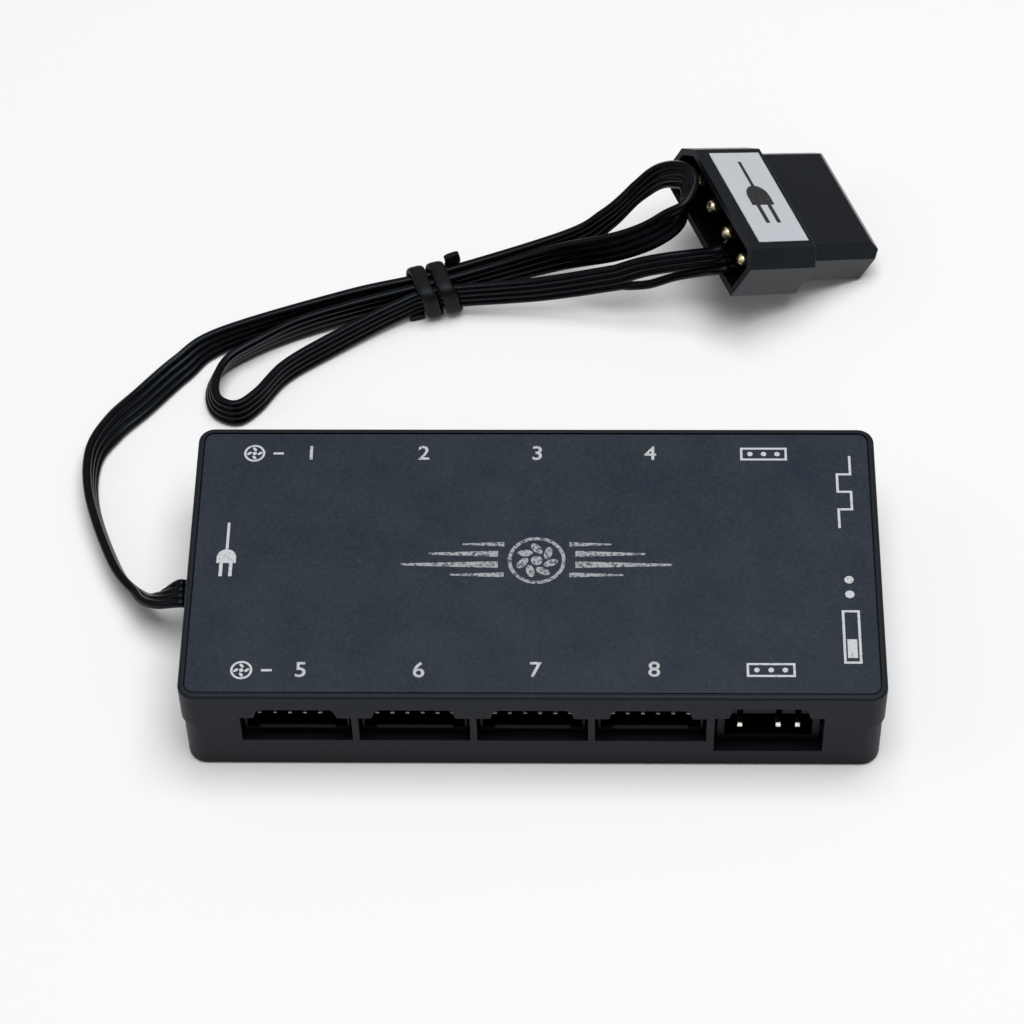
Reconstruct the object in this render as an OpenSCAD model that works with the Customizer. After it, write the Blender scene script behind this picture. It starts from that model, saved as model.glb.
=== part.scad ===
// Fan hub: a flat case with five sockets on each long side, a slide switch at one
// end and a flat power cable at the other, which ends in a four-pin power connector.
// X runs along the rows of sockets, Y from the front row to the back row, Z up.
// The origin is the middle of the underside of the case.

/* [Case] */
// Length of the case along its rows of sockets
case_l = 93; // [91:1:110]
// Width of the case between its two rows of sockets
case_w = 45; // [43:1:60]
// Height of the case
case_h = 16; // [15.5:0.5:20]
// Thickness of the lower shell's side walls
wall = 1.9; // [1.6:0.1:2]
// Thickness of the floor
floor_t = 1.8; // [1.4:0.1:2.2]
// Thickness of the roof under the label
roof_t = 1.6; // [1.2:0.1:2]
// Height of the parting line between the two shells
seam_z = 9.5; // [9.4:0.1:9.9]
// How far the lower shell stands back from the upper one
shell_step = 0.2; // [0.1:0.05:0.3]
// Radius of the upper shell's upright corners
corner_r = 2.2; // [1.6:0.1:3]
// Radius of the lower shell's upright corners
low_corner_r = 2.6; // [2.2:0.1:3]
// Rounding of the case's top and bottom edges
edge_r = 0.45; // [0.3:0.05:0.7]

/* [Label] */
// Width of the rim round the label
rim_w = 0.8; // [0.7:0.05:1.4]
// Depth of the recess that holds the label
recess_d = 0.4; // [0.3:0.05:0.6]
// Width of the groove between the rim and the label
groove_w = 0.2; // [0.15:0.05:0.4]
// Thickness of the label
label_t = 0.3; // [0.2:0.05:0.3]

/* [Circuit board] */
// Height of the board's underside
board_z = 4.7; // [4.4:0.1:4.9]
// Thickness of the board
board_t = 1.6; // [1.4:0.1:1.8]
// Gap between the board and the case walls
board_gap = 0.4; // [0.3:0.1:0.8]
// Distance of the board screws from the middle, along the case
screw_x = 38; // [35:0.5:39]
// Distance of the board screws from the middle, across the case
screw_y = 8.5; // [7:0.5:8.5]
// Diameter of a screw's thread
screw_d = 2; // [1.8:0.1:2.2]
// Diameter of a screw's head
screw_head_d = 3.8; // [3.4:0.1:4]
// Outer diameter of a screw boss
boss_d = 5; // [4.4:0.1:5.4]

/* [Fan sockets] */
// Number of contacts in a fan socket
fan_pin_count = 6; // [6:1:6]
// Distance between neighbouring contacts of a fan socket
fan_pitch = 2; // [1.9:0.05:2.05]
// Height of a fan header
fan_head_h = 4.8; // [4.8:0.1:5]
// Depth of a fan header
fan_head_d = 7.6; // [7:0.1:8]
// Thickness of a fan header's floor and roof
fan_head_t = 0.7; // [0.6:0.05:0.8]
// Distance from the case's face back to a fan header
fan_setback = 1.5; // [1.4:0.1:1.8]
// Distance from a fan header's mouth back to its pin tips
fan_tip_back = 1.2; // [0.8:0.1:1.6]

/* [Light sockets] */
// Distance between neighbouring contacts of a light socket
led_pitch = 2.54; // [2.5:0.02:2.6]
// Height of a light header
led_head_h = 7.2; // [7:0.1:7.4]
// How far a light header hangs below the top of the board
led_drop = 2.4; // [2:0.1:2.6]
// Distance from the case's face back to a light header
led_setback = 1.75; // [1.6:0.05:1.9]
// How far the pin tips stand out of a light header's mouth
led_tip_out = 0.35; // [0.2:0.05:0.5]

/* [Slide switch] */
// Width of the switch body along its travel
switch_w = 8.6; // [8.4:0.1:9.4]
// Depth of the switch body
switch_d = 4.4; // [4.2:0.1:5]
// Height of the switch body
switch_h = 3.6; // [3.4:0.1:3.8]
// How far the switch slides
switch_travel = 2; // [1.5:0.1:2.2]
// How far the knob stands out of the upper shell's end
knob_out = 0.3; // [0.1:0.1:1]

/* [Power cable] */
// Width of the flat cable
cable_w = 4.2; // [4:0.1:4.4]
// Thickness of the flat cable
cable_t = 1.3; // [1.1:0.05:1.35]
// Height at which the cable leaves the case
cable_z = 8; // [7.9:0.1:8.1]

/* [Power connector] */
// Width of the connector's shroud
shroud_w = 23.2; // [22.8:0.1:24]
// Height of the connector's shroud
shroud_h = 8; // [7.8:0.1:8.6]
// Length of the connector's shroud
shroud_l = 12.4; // [11:0.1:14]
// Thickness of the shroud's walls
shroud_t = 0.85; // [0.7:0.05:0.95]
// Width of the connector's plug end
plug_w = 20.8; // [20.6:0.1:21.4]
// Height of the connector's plug end
plug_h = 6.3; // [6:0.1:6.6]
// Length of the connector's plug end
plug_l = 13.2; // [11:0.1:14]
// Distance between neighbouring contacts of the connector
power_pitch = 5.08; // [5:0.02:5.1]
// Diameter of a power pin
power_pin_d = 2.1; // [1.9:0.05:2.2]

/* [Hidden] */
$fn = 40;
// Overlap of a cutting shape past the face that it cuts
cut = 1;
// How far two shapes run into each other where they join
join = 0.1;

// Inside of the case
inner_l = case_l - 2 * (wall + shell_step);
inner_w = case_w - 2 * (wall + shell_step);
inner_r = 1.2;
roof_z = case_h - recess_d - roof_t;
lip_h = 1;
lip_t = 0.7;
lip_gap = 0.1;
catch_l = 8;
catch_out = 0.25;
catch_end = 3;
catch_root = 0.2;
catch_y = inner_w / 2 - catch_l / 2 - catch_end;
pry_h = 0.35;
pry_d = 0.7;

// Circuit board
board_top = board_z + board_t;
board_l = inner_l - 2 * board_gap;
board_w = inner_w - 2 * board_gap;
screw_head_h = 1.3;
screw_len = 4;
screw_gap = 0.1;
screw_tip_gap = 0.3;
drive_l = screw_head_d / 1.5;
drive_w = 0.5;
drive_d = 0.6;
solder_out = 0.8;
hole_gap = 0.15;

// Sockets
head_side = 0.35;
fan_head_end = 1.95;
fan_head_w = (fan_pin_count - 1) * fan_pitch + 2 * fan_head_end;
port_gap = 0.4;
port_web = 0.9;
port_pitch = fan_head_w + 2 * port_gap + port_web;
port_slope = 0.5;
fan_sill = 0.6;
fan_lintel = 0.1;
fan_notch_w = 10;
fan_notch_h = 1.9;
fan_window_w = 9.2;
fan_window_d = 3;
fan_pin_t = 0.5;
fan_pin_z = board_top + 2.15;
lead_in_w = 10.1;
lead_in_d = 0.4;
lead_in_h = 0.22;
fan_front = -case_w / 2 + fan_setback;
fan_leg_y = fan_front + fan_head_d + 0.8;
fan_back_t = 1.6;
led_pin_count = 4;
led_blank_pin = 1;
led_head_w = 13.6;
led_head_d = 7;
led_seat_d = 1.7;
led_back_t = 1.3;
led_wall = 1;
led_sill = 0.5;
led_lintel = 0.3;
led_notch_w = 9.7;
led_notch_h = 2.2;
led_pin_t = 0.64;
led_bottom = board_top - led_drop;
led_pin_z = led_bottom + 3.7;
led_front = -case_w / 2 + led_setback;
led_leg_y = led_front + led_head_d + led_seat_d + 0.8;
led_slot_w = 0.8;
led_slot_d = 2.2;
led_key_w = 8.9;
led_key_h = 0.2;
led_cut_gap = 0.2;
// Each socket as its place in the row and its row, front 0 and back 1
FAN_PORTS = [[0, 1], [1, 1], [2, 1], [3, 1], [0, 0], [1, 0], [2, 0], [3, 0]];
LED_PORTS = [[4, 1], [4, 0]];

// Slide switch
switch_t = 0.5;
switch_front = board_l / 2;
switch_gap = 0.3;
knob_w = 1.8;
knob_h = 1.2;
knob_slack = 0.25;
rib_w = 0.2;
rib_pitch = 0.5;
knob_z = board_top + switch_h / 2;
block_w = 3.4;
terminal_pitch = 2.5;
terminal_w = 0.5;

// Cable at the case
grommet_w = cable_w + 2.2;
grommet_h = 3;
flange_w = 0.6;
flange_t = 0.8;
face_flange_t = 0.5;
grommet_z = seam_z - grommet_h;
core_d = 0.95;
core_hole_gap = 0.03;
core_pitch = cable_w / 4;
cable_c = 0.4;
tail_flat = 4.5;
tail_x = -case_l / 2 + 8;

// Power connector: where the middle of its mouth's top edge is, and how it lies
plug_down = 26.4;
plug_turn = 28.7;
plug_roll = 8.7;
mouth_x = 26.6;
mouth_y = 62.7;
shroud_c = 2.1;
plug_c = 1.75;
plug_top = 0.35;
mouth_depth = 9.6;
pin_drop = 3.55;
pin_inset = 1.85;
socket_d = 3.4;
socket_depth = 9;
contact_t = 0.35;
barrel_w = 2.5;
barrel_h = 1.3;
barrel_l = 3.6;
barrel_x = 3;
barrel_drop = 6.3;
pair_t = 1.05;
pair_drop = 6.7;
pair_spread = 1.25;
pair_gap = 0.1;
pair_c = 0.3;
rim_before = 1.8;
crimp_before = 0.8;
crimp_inside = 0.4;
end_bevel = 1.5;
end_drop = 0.9;
joint_x = shroud_l - 2;
pin_gap = 0.1;
tube_gap = 0.1;
tube_back = 1;
post_w = 0.6;
shroud_thin = 0.34;
corner_cut = 1.4;
sticker_l = 9.4;
sticker_w = 16.9;
sticker_x = 2.2;
sticker_y = 0.2;
sticker_t = 0.12;
plug_bottom = plug_top + plug_h;
power_l = shroud_l + plug_l;

// Route of the flat cable: each point in millimetres, then the way its width points.
// It leaves the case flat, stands on edge along the floor, passes the tie three
// times and climbs to the connector, whose mouth its end and one fold lean on.
ROUTE = [
    [-46.5, 0, 8], [-47.6, 0, 8], [-48.7, 0, 8], [-51.4, 0.6, 6.2], [-54.4, 3.2, 3.4],
    [-58.3, 8.3, 2.3], [-62.6, 19.5, 2.3], [-63.3, 28, 2.2], [-60.9, 33.7, 2.1],
    [-57.2, 38.6, 1.8], [-51.9, 45.1, 1.8], [-46.1, 50.1, 2.2], [-28, 57.1, 2.8],
    [-15, 60.3, 3.6], [4, 65.2, 6.6], [10, 67.4, 9.2],
    [14.5, 70.3, 12], [17.9, 70.5, 15], [21.1, 68.3, 17.5], [21.9, 66, 17.1],
    [20.6, 63, 15.7], [17, 61.2, 13.3], [11.5, 61, 10.4], [3.5, 61.9, 7.2],
    [-5, 61, 4.9], [-15, 58.6, 3.6], [-27, 55.3, 2.7], [-35, 52.4, 2.3],
    [-41, 48.9, 2.3], [-45.6, 45.3, 2.2], [-47.1, 41.2, 2.2], [-46.3, 37.6, 2.2],
    [-43.3, 36.3, 2.2], [-40.4, 38.7, 2.2], [-36.7, 44, 2.2], [-30, 49.1, 2.4],
    [-21, 54.8, 3], [-15, 56.9, 3.6], [0, 57.2, 5.2], [12, 56.8, 8.4]
];
WIDTH_WAY = [
    [0, -1, 0], [0, -1, 0], [0, -1, 0], [-0.1, -0.9, 0.5], [-0.3, -0.4, 0.9],
    [-0.3, 0, 1], [-0.2, 0, 1], [-0.3, 0, 1], [-0.5, 0.2, 0.9],
    [-0.6, 0.4, 0.7], [-0.5, 0.4, 0.8], [-0.2, 0.2, 1], [0, 0, 1],
    [0, 0, 1], [0, 0.1, 1], [0, 0.1, 1],
    [0.1, 0, 1], [0.3, -0.1, 1], [0.4, -0.1, 0.9], [0.4, 0.1, 0.9],
    [0.3, 0.3, 0.9], [0.1, 0.5, 0.8], [0, 0.5, 0.9], [0, 0.3, 1],
    [0, 0.1, 1], [0, 0, 1], [0, 0, 1], [0, 0, 1],
    [0.2, -0.1, 1], [0.4, 0, 1], [0.4, 0, 1], [0.2, 0.1, 1],
    [0, 0.2, 1], [0, 0.2, 1], [0, 0.1, 1], [0, 0.1, 1],
    [0, 0, 1], [0, 0, 1], [0, 0.1, 1], [0, 0.2, 1]
];
// Where the tie sits on the cable, and which way the strands run there
tie_at = [-15, 58.6, 3.6];
tie_run = [1, 0.24, 0.08];
// Angles about the strands at which the tie starts and ends, 0 at the back
tie_start = -110;
tie_end = 793;
tie_step = 2.9;
tie_w = 2.4;
tie_t = 0.8;
tie_slack_w = 0.35;
tie_slack_h = 0.25;
strand_gap = 1.7;
tie_tuck = 0.4;
tie_end_l = 3;
tie_end_way = [-0.6, -0.4, 1];
tie_c = 0.25;
tie_soft = 0.45;

// Vector helpers for the swept pieces
function unit(v) = v / norm(v);
function upright(w, t) = unit(w - (w * t) * t);
function along(p, i, s) = p[max(0, min(len(p) - 1, i + s))];
// A point at share f between points i and i + 1, on a smooth curve through all of them
function on_curve(p, i, f) =
    let (a = along(p, i, -1), b = p[i], c = along(p, i, 1), d = along(p, i, 2))
    0.5 * (2 * b + (c - a) * f + (2 * a - 5 * b + 4 * c - d) * f * f
        + (3 * b - a - 3 * c + d) * f * f * f);
function curve(p, n) = [
    for (i = [0 : len(p) - 2], k = [0 : n - 1]) on_curve(p, i, k / n), p[len(p) - 1]
];
function way(p, i) = unit(along(p, i, 1) - along(p, i, -1));
// A flat section with its corners cut, w wide and t thick
function flat_section(w, t, c) = [
    [w / 2, t / 2 - c], [w / 2 - c, t / 2], [c - w / 2, t / 2], [-w / 2, t / 2 - c],
    [-w / 2, c - t / 2], [c - w / 2, -t / 2], [w / 2 - c, -t / 2], [w / 2, c - t / 2]
];
// The ring of a section at one point of the route
function ring(p, w, i, section) =
    let (t = way(p, i), u = upright(w[i], t), n = cross(t, u))
    [for (s = section) p[i] + s[0] * u + s[1] * n];

// One closed tube through all the points p, whose width points along w
module sweep(p, w, section) {
    m = len(section);
    last = len(p) - 1;
    points = [for (i = [0 : last]) each ring(p, w, i, section)];
    sides = [
        for (i = [0 : last - 1], k = [0 : m - 1])
            [i * m + k, i * m + (k + 1) % m, (i + 1) * m + (k + 1) % m, (i + 1) * m + k]
    ];
    ends = [[for (k = [m - 1 : -1 : 0]) k], [for (k = [0 : m - 1]) last * m + k]];
    polyhedron(points, concat(sides, ends));
}

// A place in a row of sockets: i counts from the left, side 0 is the front
module at_port(port) {
    translate([(port[0] - 2) * port_pitch, 0, 0])
        rotate([0, 0, 180 * port[1]])
            children();
}

// A rectangle with round corners
module round_rect(l, w, r) {
    square([l - 2 * r, w], center = true);
    square([l, w - 2 * r], center = true);
    for (x = [r - l / 2, l / 2 - r], y = [r - w / 2, w / 2 - r])
        translate([x, y])
            circle(r);
}

// A block with round upright corners of radius r and one rounded end face
module soft_block(l, w, z0, z1, r, e, top) {
    hull()
        for (x = [r - l / 2, l / 2 - r], y = [r - w / 2, w / 2 - r])
            translate([x, y, 0]) {
                translate([0, 0, top ? z1 - e : z0 + e])
                    rotate_extrude($fn = 32)
                        translate([r - e, 0])
                            circle(e, $fn = 24);
                translate([0, 0, top ? z0 : z0 + e])
                    cylinder(r = r, h = z1 - z0 - e, $fn = 32);
            }
}

// The opening in a long wall in front of one socket
module port_cut(w, low, high, notch_w, notch_h) {
    reach = wall + shell_step + 2 * cut;
    translate([0, -case_w / 2 - cut, 0])
        mirror([0, 1, 0])
            rotate([90, 0, 0])
                linear_extrude(reach)
                    polygon([
                        [-w / 2, low], [w / 2, low], [w / 2, high],
                        [notch_w / 2 + port_slope, high], [notch_w / 2, high + notch_h],
                        [-notch_w / 2, high + notch_h], [-notch_w / 2 - port_slope, high],
                        [-w / 2, high]
                    ]);
}

module all_port_cuts() {
    for (port = FAN_PORTS)
        at_port(port)
            port_cut(
                fan_head_w + 2 * port_gap, board_top - fan_sill,
                board_top + fan_head_h + fan_lintel, fan_notch_w, fan_notch_h
            );
    for (port = LED_PORTS)
        at_port(port)
            port_cut(
                led_head_w + 2 * port_gap, led_bottom - led_sill,
                led_bottom + led_head_h + led_lintel, led_notch_w, led_notch_h
            );
}

// Ridges on the lower shell's lip that snap into grooves of the upper shell
module catches(grow) {
    for (x = [-1, 1], y = [-1, 1])
        translate([x * (inner_l / 2 + lip_t), y * catch_y, seam_z + lip_h / 2])
            rotate([90, 0, 0])
                linear_extrude(catch_l + 2 * grow, center = true)
                    polygon([
                        [-x * catch_root, -catch_out - grow], [-x * catch_root, catch_out + grow],
                        [0, catch_out + grow], [x * (catch_out + grow), 0],
                        [0, -catch_out - grow]
                    ]);
}

module top_shell() {
    color("#202226")
        difference() {
            soft_block(case_l, case_w, seam_z, case_h, corner_r, edge_r, true);
            translate([0, 0, seam_z - cut])
                linear_extrude(roof_z - seam_z + cut)
                    round_rect(inner_l, inner_w, inner_r);
            translate([0, 0, seam_z - cut])
                linear_extrude(lip_h + lip_gap + cut)
                    round_rect(
                        inner_l + 2 * (lip_t + lip_gap),
                        inner_w + 2 * (lip_t + lip_gap), inner_r
                    );
            translate([0, 0, case_h - recess_d])
                linear_extrude(recess_d + cut)
                    round_rect(case_l - 2 * rim_w, case_w - 2 * rim_w, corner_r - rim_w);
            catches(lip_gap);
            all_port_cuts();
        }
}

module bottom_shell() {
    low_l = case_l - 2 * shell_step;
    low_w = case_w - 2 * shell_step;
    color("#1b1d20")
        difference() {
            union() {
                difference() {
                    soft_block(low_l, low_w, 0, seam_z, low_corner_r, edge_r, false);
                    translate([0, 0, floor_t])
                        linear_extrude(seam_z - floor_t + cut)
                            round_rect(inner_l, inner_w, inner_r);
                }
                difference() {
                    translate([0, 0, seam_z - lip_h])
                        linear_extrude(2 * lip_h)
                            round_rect(inner_l + 2 * lip_t, inner_w + 2 * lip_t, inner_r);
                    translate([0, 0, seam_z - lip_h - cut])
                        linear_extrude(2 * lip_h + 2 * cut)
                            round_rect(inner_l, inner_w, inner_r);
                }
                catches(0);
                for (x = [-1, 1], y = [-1, 1])
                    translate([x * screw_x, y * screw_y, floor_t - join])
                        cylinder(d = boss_d, h = board_z - floor_t + join);
            }
            for (x = [-1, 1], y = [-1, 1])
                translate([x * screw_x, y * screw_y, board_top - screw_len - screw_tip_gap])
                    cylinder(d = screw_d + 2 * screw_gap, h = screw_len);
            all_port_cuts();
            cable_slot();
            switch_slot();
            pry_notch();
        }
}

// A notch round the front right corner, where a blade can part the two shells
module pry_notch() {
    reach = low_corner_r + cut;
    translate([
        case_l / 2 - shell_step - low_corner_r, shell_step + low_corner_r - case_w / 2,
        seam_z - pry_h
    ])
        difference() {
            translate([0, -reach, 0])
                cube([reach, reach, pry_h + cut]);
            translate([0, 0, -cut])
                cylinder(r = low_corner_r - pry_d, h = pry_h + 3 * cut);
        }
}

// The way out for the cable's grommet, open towards the seam
module cable_slot() {
    translate([-case_l / 2 - cut, -grommet_w / 2, grommet_z])
        cube([wall + shell_step + 2 * cut, grommet_w, grommet_h + lip_h + cut]);
    translate([-case_l / 2 - cut, -grommet_w / 2 - flange_w, grommet_z - flange_w])
        cube([face_flange_t + cut, grommet_w + 2 * flange_w, grommet_h + flange_w + lip_h + cut]);
}

// The way out for the switch's knob, open towards the seam
module switch_slot() {
    slot_w = knob_w + switch_travel + 2 * switch_gap;
    low = knob_z - knob_h / 2 - switch_gap;
    translate([inner_l / 2 - cut, -slot_w / 2, low])
        cube([wall + shell_step + 2 * cut, slot_w, seam_z + lip_h + cut - low]);
}

module face_label() {
    gap = rim_w + groove_w;
    color("#2c3240")
        translate([0, 0, case_h - recess_d])
            linear_extrude(label_t)
                round_rect(case_l - 2 * gap, case_w - 2 * gap, corner_r - gap);
}

module circuit_board() {
    color("#14301f")
        difference() {
            translate([0, 0, board_z])
                linear_extrude(board_t)
                    round_rect(board_l, board_w, inner_r);
            translate([0, 0, board_z - cut]) {
                for (x = [-1, 1], y = [-1, 1])
                    translate([x * screw_x, y * screw_y, 0])
                        cylinder(d = screw_d + 4 * screw_gap, h = board_t + 2 * cut);
                for (port = FAN_PORTS)
                    at_port(port)
                        for (k = [0 : fan_pin_count - 1])
                            translate([pin_x(k, fan_pin_count, fan_pitch), fan_leg_y, 0])
                                cylinder(d = leg_hole(fan_pin_t), h = board_t + 2 * cut, $fn = 16);
                for (port = LED_PORTS)
                    at_port(port) {
                        for (k = [0 : led_pin_count - 1])
                            if (k != led_blank_pin)
                                translate([pin_x(k, led_pin_count, led_pitch), led_leg_y, 0])
                                    cylinder(d = leg_hole(led_pin_t), h = board_t + 2 * cut, $fn = 16);
                        translate([-led_head_w / 2 - led_cut_gap, -case_w / 2, 0])
                            cube([
                                led_head_w + 2 * led_cut_gap,
                                led_setback + led_head_d + led_cut_gap, board_t + 2 * cut
                            ]);
                    }
                for (k = [-1 : 1])
                    translate([switch_front - switch_d / 2, k * terminal_pitch, 0])
                        cylinder(d = leg_hole(terminal_w), h = board_t + 2 * cut, $fn = 16);
                for (k = [0 : 3])
                    translate([tail_x, (k - 1.5) * core_pitch, 0])
                        cylinder(d = core_d + 2 * core_hole_gap, h = board_t + 2 * cut, $fn = 24);
            }
        }
}

// Place of pin k in a row of pins, and the hole that a square leg needs
function pin_x(k, count, pitch) = (k - (count - 1) / 2) * pitch;
function leg_hole(t) = t * sqrt(2) + 2 * hole_gap;

module fan_header() {
    color("#17181a")
        difference() {
            translate([-fan_head_w / 2, fan_front, board_top])
                cube([fan_head_w, fan_head_d, fan_head_h]);
            translate([head_side - fan_head_w / 2, fan_front - cut, board_top + fan_head_t])
                cube([
                    fan_head_w - 2 * head_side, fan_head_d - fan_back_t + cut,
                    fan_head_h - 2 * fan_head_t
                ]);
            translate([-fan_window_w / 2, fan_front - cut, board_top + fan_head_h - fan_head_t - join])
                cube([fan_window_w, fan_window_d + cut, fan_head_t + join + cut]);
            translate([-lead_in_w / 2, fan_front, board_top + fan_head_t])
                rotate([90, 0, 90])
                    linear_extrude(lead_in_w)
                        polygon([[-cut, -lead_in_h], [0, -lead_in_h], [lead_in_d, 0], [0, cut], [-cut, cut]]);
            for (k = [0 : fan_pin_count - 1])
                translate([
                    pin_x(k, fan_pin_count, fan_pitch) - fan_pin_t / 2,
                    fan_front + fan_head_d - fan_back_t - cut, fan_pin_z - fan_pin_t / 2
                ])
                    cube([fan_pin_t, fan_back_t + 2 * cut, fan_pin_t]);
        }
}

// A square pin that points out of the socket and is bent down through the board
module bent_pin(t, tip_y, leg_y, z) {
    nose = 0.6 * t;
    low = board_z - solder_out;
    translate([-t / 2, 0, 0])
        rotate([90, 0, 90])
            linear_extrude(t)
                polygon([
                    [tip_y, z - t / 4], [tip_y + nose, z - t / 2], [leg_y - t / 2, z - t / 2],
                    [leg_y - t / 2, low], [leg_y + t / 2, low], [leg_y + t / 2, z],
                    [leg_y, z + t / 2], [tip_y + nose, z + t / 2], [tip_y, z + t / 4]
                ]);
}

module fan_pins() {
    color("#d8b45a")
        for (k = [0 : fan_pin_count - 1])
            translate([pin_x(k, fan_pin_count, fan_pitch), 0, 0])
                bent_pin(fan_pin_t, fan_front + fan_tip_back, fan_leg_y, fan_pin_z);
}

module led_header() {
    high = led_bottom + led_head_h;
    color("#151617")
        difference() {
            union() {
                translate([-led_head_w / 2, led_front, led_bottom])
                    cube([led_head_w, led_head_d, led_head_h]);
                translate([-led_head_w / 2, led_front + led_head_d - join, board_top])
                    cube([led_head_w, led_seat_d + join, high - board_top]);
            }
            difference() {
                translate([led_wall - led_head_w / 2, led_front - cut, led_bottom + led_wall])
                    cube([
                        led_head_w - 2 * led_wall, led_head_d - led_back_t + cut,
                        led_head_h - 2 * led_wall
                    ]);
                translate([-led_key_w / 2, led_front, led_bottom + led_wall - cut])
                    cube([led_key_w, led_head_d, led_key_h + cut]);
            }
            for (k = [0 : led_pin_count - 1])
                if (k != led_blank_pin)
                    translate([pin_x(k, led_pin_count, led_pitch), 0, 0]) {
                        translate([-led_slot_w / 2, led_front - cut, high - led_wall - join])
                            cube([led_slot_w, led_slot_d + cut, led_wall + join + cut]);
                        translate([
                            -led_pin_t / 2, led_front + led_head_d - led_back_t - cut,
                            led_pin_z - led_pin_t / 2
                        ])
                            cube([led_pin_t, led_back_t + led_seat_d + 2 * cut, led_pin_t]);
                    }
        }
}

module led_pins() {
    color("#d8b45a")
        for (k = [0 : led_pin_count - 1])
            if (k != led_blank_pin)
                translate([pin_x(k, led_pin_count, led_pitch), 0, 0])
                    bent_pin(led_pin_t, led_front - led_tip_out, led_leg_y, led_pin_z);
}

module switch_body() {
    slot_w = knob_w + switch_travel + 2 * switch_gap;
    slot_h = knob_h + 2 * knob_slack;
    color("#a9adb2")
        difference() {
            translate([switch_front - switch_d, -switch_w / 2, board_top])
                cube([switch_d, switch_w, switch_h]);
            translate([
                switch_front - switch_d + switch_t, switch_t - switch_w / 2, board_top + switch_t
            ])
                cube([switch_d - 2 * switch_t, switch_w - 2 * switch_t, switch_h - 2 * switch_t]);
            translate([switch_front - switch_t - join, -slot_w / 2, knob_z - slot_h / 2])
                cube([switch_t + cut, slot_w, slot_h]);
        }
}

// The slider starts at the front end of its travel
module switch_slider() {
    block_h = switch_h - 2 * switch_t - 2 * switch_gap;
    block_d = switch_d - 2 * switch_t - 2 * switch_gap;
    face = switch_front - switch_t - switch_gap;
    tip = case_l / 2 + knob_out;
    color("#101112")
        translate([0, -switch_travel / 2, 0])
            difference() {
                union() {
                    translate([face - block_d, -block_w / 2, knob_z - block_h / 2])
                        cube([block_d, block_w, block_h]);
                    translate([face - join, -knob_w / 2, knob_z - knob_h / 2])
                        cube([tip - face + join, knob_w, knob_h]);
                }
                for (k = [-1 : 1])
                    translate([tip - rib_w, k * rib_pitch - rib_w / 2, knob_z - knob_h])
                        cube([cut, rib_w, 2 * knob_h]);
            }
}

module switch_terminals() {
    color("#c9ccd0")
        for (k = [-1 : 1])
            translate([
                switch_front - switch_d / 2 - terminal_w / 2, k * terminal_pitch - terminal_w / 2,
                board_z - solder_out
            ])
                cube([terminal_w, terminal_w, board_t + solder_out]);
}

// The controller: a flat package with a row of bent legs along both long sides
module controller_chip() {
    chip_x = 6;
    chip_l = 9.9;
    chip_w = 3.9;
    chip_h = 1.5;
    leg_count = 8;
    leg_pitch = 1.27;
    leg_w = 0.4;
    leg_out = 1.05;
    leg_t = 0.2;
    leg_z = 0.6;
    knee = 0.35;
    bend = 0.2;
    foot = 0.6;
    color("#1e1f21")
        translate([chip_x, 0, board_top]) {
            translate([-chip_l / 2, -chip_w / 2, leg_t / 2])
                cube([chip_l, chip_w, chip_h]);
            for (side = [0, 180], k = [0 : leg_count - 1])
                rotate([0, 0, side])
                    translate([pin_x(k, leg_count, leg_pitch) - leg_w / 2, chip_w / 2, 0])
                        rotate([90, 0, 90])
                            linear_extrude(leg_w)
                                polygon([
                                    [-join, leg_z + leg_t], [knee, leg_z + leg_t],
                                    [knee, leg_t], [leg_out, leg_t],
                                    [leg_out, 0], [leg_out - foot - bend, 0],
                                    [knee - bend, leg_z], [-join, leg_z]
                                ]);
        }
}

module filter_capacitor() {
    can_x = -22;
    can_d = 6.3;
    can_h = 5.4;
    base_w = 6.6;
    base_t = 0.8;
    color("#9aa0a6")
        translate([can_x, 0, board_top]) {
            translate([-base_w / 2, -base_w / 2, 0])
                cube([base_w, base_w, base_t]);
            translate([0, 0, base_t - join])
                cylinder(d = can_d, h = can_h - base_t + join);
        }
}

// Small resistors and capacitors in two rows on the board
module chip_parts() {
    size = [1.6, 0.8, 0.5];
    first_x = -8;
    part_pitch = 4.5;
    part_y = 5.5;
    color("#6f6a5e")
        for (i = [0 : 5], y = [-part_y, part_y])
            translate([first_x + part_pitch * i, y - size[1] / 2, board_top])
                cube(size);
}

module board_screws() {
    color("#b6b9be")
        for (x = [-1, 1], y = [-1, 1])
            translate([x * screw_x, y * screw_y, board_top])
                difference() {
                    union() {
                        cylinder(d = screw_head_d, h = screw_head_h);
                        translate([0, 0, -screw_len])
                            cylinder(d = screw_d, h = screw_len + join);
                    }
                    for (a = [0, 90])
                        rotate([0, 0, a])
                            translate([-drive_l / 2, -drive_w / 2, screw_head_h - drive_d])
                                cube([drive_l, drive_w, drive_d + cut]);
                }
}

module cable_grommet() {
    depth = wall + shell_step + flange_t;
    color("#141414")
        difference() {
            union() {
                translate([-case_l / 2, -grommet_w / 2, grommet_z])
                    cube([depth, grommet_w, grommet_h]);
                translate([-case_l / 2, -grommet_w / 2 - flange_w, grommet_z - flange_w])
                    cube([face_flange_t, grommet_w + 2 * flange_w, grommet_h + flange_w]);
                translate([-inner_l / 2, -grommet_w / 2 - flange_w, grommet_z])
                    cube([flange_t, grommet_w + 2 * flange_w, grommet_h]);
            }
            translate([-case_l / 2 - cut, -cable_w / 2, cable_z - cable_t / 2])
                cube([depth + 2 * cut, cable_w, cable_t]);
        }
}

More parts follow.
